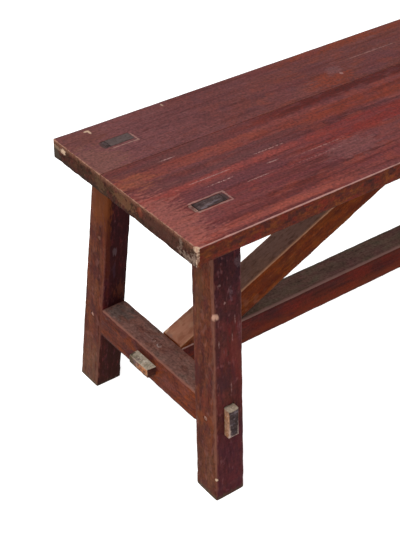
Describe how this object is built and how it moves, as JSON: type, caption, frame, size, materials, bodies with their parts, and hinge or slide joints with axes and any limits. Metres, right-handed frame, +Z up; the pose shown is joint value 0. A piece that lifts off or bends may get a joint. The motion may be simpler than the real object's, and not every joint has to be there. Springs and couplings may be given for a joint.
{
  "type": "wooden bench",
  "caption": "Long low wooden bench: a plank seat on splayed, through-tenoned legs, tied by stretchers and diagonal braces.",
  "frame": {"origin": "on the floor under the middle of the seat, at the centre of the feet's outline", "axes": "+X along the bench, +Y across it to the back edge, +Z up"},
  "size_m": [1.6, 0.3577, 0.45],
  "materials": {
    "seat": "worn red polish, satin",
    "leg": "worn red-brown polish, satin",
    "stretcher": "dusty brown, matt",
    "brace": "orange-brown, matt",
    "end_grain": "dark bare end grain, matt"
  },
  "bodies": {
    "root": {"seat_back_board": "seat", "seat_front_board": "seat", "leg_front_left": "leg", "leg_back_left": "leg", "leg_front_right": "leg", "leg_back_right": "leg", "end_stretcher_left": "stretcher", "end_stretcher_right": "stretcher", "long_stretcher": "stretcher", "brace_left": "brace", "brace_right": "brace", "tenon_wedge_front_left": "end_grain", "tenon_wedge_back_left": "end_grain", "tenon_wedge_front_right": "end_grain", "tenon_wedge_back_right": "end_grain", "leg_peg_front_left": "end_grain", "leg_peg_back_left": "end_grain", "leg_peg_front_right": "end_grain", "leg_peg_back_right": "end_grain", "tenon_pin_front_left": "end_grain", "tenon_pin_back_left": "end_grain", "tenon_pin_front_right": "end_grain", "tenon_pin_back_right": "end_grain"}
  },
  "joints": []
}
